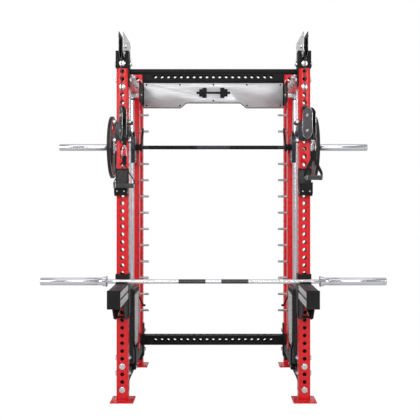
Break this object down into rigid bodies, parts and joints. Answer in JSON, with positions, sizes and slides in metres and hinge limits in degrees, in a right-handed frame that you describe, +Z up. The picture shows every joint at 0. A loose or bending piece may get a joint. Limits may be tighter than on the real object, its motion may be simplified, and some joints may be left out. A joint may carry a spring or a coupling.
{
  "type": "smith machine rack with cable columns",
  "caption": "Steel rack with a guided barbell on linear rods, two cable columns with swivel pulleys and handles, cups, spotter arms and a loose barbell.",
  "frame": {"origin": "middle of the machine's outline on the floor, under its base plates", "axes": "+Z up, +X to the right of a user facing the machine, +Y to its rear"},
  "size_m": [2.24, 1.4624, 2.37],
  "materials": {
    "red_paint": "gloss",
    "black_paint": "satin",
    "slate_paint": "satin",
    "bright_zinc": "polished",
    "brushed_steel": "brushed",
    "cast_aluminium": "satin",
    "hard_chrome": "polished",
    "black_nylon": "matte",
    "liner_plastic": "matte",
    "black_rubber": "matte",
    "cable_sheath": "gloss",
    "iron_plate": "satin",
    "webbing": "woven",
    "grip_rubber": "matte"
  },
  "bodies": {
    "frame": {"arm_side_plates": "brushed_steel", "bar_stops": "black_paint", "base_side_beams": "black_paint", "catch_pegs": "hard_chrome", "cheek_plates": "brushed_steel", "frame_bolts": "bright_zinc", "front_uprights": "red_paint", "guide_rods": "hard_chrome", "j_cups": "black_paint", "left_front_cable": "cable_sheath", "left_rear_cable": "cable_sheath", "name_panel": "brushed_steel", "panel_backing": "black_paint", "plastic_liners": "liner_plastic", "pull_up_bar": "black_paint", "pulley_brackets": "black_paint", "rear_low_beam": "black_paint", "rear_top_beam": "black_paint", "rear_uprights": "red_paint", "right_front_cable": "cable_sheath", "right_rear_cable": "cable_sheath", "rod_clamps": "cast_aluminium", "smith_uprights": "red_paint", "spotter_arms": "black_paint", "spotter_caps": "black_rubber", "stack_bumpers": "black_rubber", "stack_guards": "slate_paint", "stack_plates": "iron_plate", "top_side_beams": "red_paint", "upper_cables": "cable_sheath"},
    "carriage": {"carriages": "slate_paint"},
    "smith_bar": {"smith_bar": "black_paint", "bar_sleeves": "hard_chrome", "smith_hooks": "black_paint", "weight_plates": "iron_plate"},
    "barbell": {"barbell_shaft": "hard_chrome"},
    "left_sleeve": {"left_barbell_sleeve": "hard_chrome"},
    "right_sleeve": {"right_barbell_sleeve": "hard_chrome"},
    "left_front_pulley": {"left_front_pulley": "black_nylon"},
    "left_rear_pulley": {"left_rear_pulley": "black_nylon"},
    "left_trolley": {"left_trolley": "slate_paint"},
    "left_trolley_pin": {"left_trolley_pin": "bright_zinc"},
    "left_upper_wheel": {"left_upper_wheel": "black_nylon"},
    "left_lower_wheel": {"left_lower_wheel": "black_nylon"},
    "left_handle_strap": {"left_handle_strap": "webbing"},
    "left_handle_grip": {"left_handle_grip": "grip_rubber"},
    "left_stack": {"left_stack_head": "iron_plate"},
    "left_swivel": {"left_swivel_frame": "slate_paint"},
    "left_cable_end": {"left_carabiner": "bright_zinc"},
    "right_front_pulley": {"right_front_pulley": "black_nylon"},
    "right_rear_pulley": {"right_rear_pulley": "black_nylon"},
    "right_trolley": {"right_trolley": "slate_paint"},
    "right_trolley_pin": {"right_trolley_pin": "bright_zinc"},
    "right_upper_wheel": {"right_upper_wheel": "black_nylon"},
    "right_lower_wheel": {"right_lower_wheel": "black_nylon"},
    "right_handle_strap": {"right_handle_strap": "webbing"},
    "right_handle_grip": {"right_handle_grip": "grip_rubber"},
    "right_stack": {"right_stack_head": "iron_plate"},
    "right_swivel": {"right_swivel_frame": "slate_paint"},
    "right_cable_end": {"right_carabiner": "bright_zinc"}
  },
  "joints": [
    {"name": "smith_travel", "type": "slide", "parent": "frame", "child": "carriage", "axis": [0, 0, 1], "range_m": [-0.968, 0.121]},
    {"name": "bar_twist", "type": "hinge", "parent": "carriage", "child": "smith_bar", "pos_m": [0, 0.28075, 1.677], "axis": [1, 0, 0], "range_deg": [0, 60]},
    {"name": "barbell_lift", "type": "slide", "parent": "frame", "child": "barbell", "axis": [0, 0, 1], "range_m": [0, 0.4]},
    {"name": "left_sleeve_spin", "type": "hinge", "parent": "barbell", "child": "left_sleeve", "pos_m": [-0.89, -0.37625, 0.781], "axis": [1, 0, 0], "continuous": true},
    {"name": "right_sleeve_spin", "type": "hinge", "parent": "barbell", "child": "right_sleeve", "pos_m": [0.89, -0.37625, 0.781], "axis": [1, 0, 0], "continuous": true},
    {"name": "left_stack_lift", "type": "slide", "parent": "frame", "child": "left_stack", "axis": [0, 0, 1], "range_m": [0, 1.1], "deforming": ["left_rear_cable"]},
    {"name": "left_front_pulley_spin", "type": "hinge", "parent": "frame", "child": "left_front_pulley", "pos_m": [-0.584, -0.32625, 2.29], "axis": [1, 0, 0], "continuous": true},
    {"name": "left_rear_pulley_spin", "type": "hinge", "parent": "frame", "child": "left_rear_pulley", "pos_m": [-0.584, -0.08625, 2.245], "axis": [1, 0, 0], "continuous": true},
    {"name": "left_trolley_slide", "type": "slide", "parent": "frame", "child": "left_trolley", "axis": [0, 0, 1], "range_m": [-0.15, 0.15], "deforming": ["left_front_cable"]},
    {"name": "left_pin_pull", "type": "slide", "parent": "left_trolley", "child": "left_trolley_pin", "axis": [1, 0, 0], "range_m": [0, 0.01], "stiffness_N_per_m": 900, "springref_m": -0.01},
    {"name": "left_swivel_turn", "type": "hinge", "parent": "left_trolley", "child": "left_swivel", "pos_m": [-0.584, -0.37625, 1.786], "axis": [0, 0, 1], "range_deg": [-78, 42]},
    {"name": "left_upper_wheel_spin", "type": "hinge", "parent": "left_swivel", "child": "left_upper_wheel", "pos_m": [-0.57071, -0.41714, 1.835], "axis": [0.9511, 0.309, 0], "continuous": true},
    {"name": "left_lower_wheel_spin", "type": "hinge", "parent": "left_swivel", "child": "left_lower_wheel", "pos_m": [-0.57071, -0.41714, 1.738], "axis": [0.9511, 0.309, 0], "continuous": true},
    {"name": "left_handle_pull", "type": "slide", "parent": "left_swivel", "child": "left_cable_end", "axis": [0.2367, -0.7286, -0.6428], "range_m": [0, 1.1]},
    {"name": "left_handle_swing", "type": "hinge", "parent": "left_cable_end", "child": "left_handle_strap", "pos_m": [-0.55742, -0.45804, 1.569], "axis": [0.9511, 0.309, 0], "range_deg": [-80, 2]},
    {"name": "left_grip_spin", "type": "hinge", "parent": "left_handle_strap", "child": "left_handle_grip", "pos_m": [-0.55742, -0.45804, 1.39], "axis": [0.9511, 0.309, 0], "continuous": true},
    {"name": "right_stack_lift", "type": "slide", "parent": "frame", "child": "right_stack", "axis": [0, 0, 1], "range_m": [0, 1.1], "deforming": ["right_rear_cable"]},
    {"name": "right_front_pulley_spin", "type": "hinge", "parent": "frame", "child": "right_front_pulley", "pos_m": [0.584, -0.32625, 2.29], "axis": [1, 0, 0], "continuous": true},
    {"name": "right_rear_pulley_spin", "type": "hinge", "parent": "frame", "child": "right_rear_pulley", "pos_m": [0.584, -0.08625, 2.245], "axis": [1, 0, 0], "continuous": true},
    {"name": "right_trolley_slide", "type": "slide", "parent": "frame", "child": "right_trolley", "axis": [0, 0, 1], "range_m": [-0.15, 0.15], "deforming": ["right_front_cable"]},
    {"name": "right_pin_pull", "type": "slide", "parent": "right_trolley", "child": "right_trolley_pin", "axis": [-1, 0, 0], "range_m": [0, 0.01], "stiffness_N_per_m": 900, "springref_m": -0.01},
    {"name": "right_swivel_turn", "type": "hinge", "parent": "right_trolley", "child": "right_swivel", "pos_m": [0.584, -0.37625, 1.786], "axis": [0, 0, 1], "range_deg": [-90, 30]},
    {"name": "right_upper_wheel_spin", "type": "hinge", "parent": "right_swivel", "child": "right_upper_wheel", "pos_m": [0.6055, -0.41349, 1.835], "axis": [0.866, 0.5, 0], "continuous": true},
    {"name": "right_lower_wheel_spin", "type": "hinge", "parent": "right_swivel", "child": "right_lower_wheel", "pos_m": [0.6055, -0.41349, 1.738], "axis": [0.866, 0.5, 0], "continuous": true},
    {"name": "right_handle_pull", "type": "slide", "parent": "right_swivel", "child": "right_cable_end", "axis": [0.383, -0.6634, -0.6428], "range_m": [0, 1.1]},
    {"name": "right_handle_swing", "type": "hinge", "parent": "right_cable_end", "child": "right_handle_strap", "pos_m": [0.627, -0.45073, 1.603], "axis": [0.866, 0.5, 0], "range_deg": [-80, 2]},
    {"name": "right_grip_spin", "type": "hinge", "parent": "right_handle_strap", "child": "right_handle_grip", "pos_m": [0.627, -0.45073, 1.441], "axis": [0.866, 0.5, 0], "continuous": true}
  ],
  "couplings": [
    {"joint": "left_front_pulley_spin", "follows": "left_stack_lift", "rad_per_m": 20},
    {"joint": "left_rear_pulley_spin", "follows": "left_stack_lift", "rad_per_m": 20},
    {"joint": "left_upper_wheel_spin", "follows": "left_stack_lift", "rad_per_m": -23.256},
    {"joint": "left_lower_wheel_spin", "follows": "left_stack_lift", "rad_per_m": 23.256},
    {"joint": "left_handle_pull", "follows": "left_stack_lift", "ratio": 1},
    {"joint": "right_front_pulley_spin", "follows": "right_stack_lift", "rad_per_m": 20},
    {"joint": "right_rear_pulley_spin", "follows": "right_stack_lift", "rad_per_m": 20},
    {"joint": "right_upper_wheel_spin", "follows": "right_stack_lift", "rad_per_m": -23.256},
    {"joint": "right_lower_wheel_spin", "follows": "right_stack_lift", "rad_per_m": 23.256},
    {"joint": "right_handle_pull", "follows": "right_stack_lift", "ratio": 1}
  ]
}
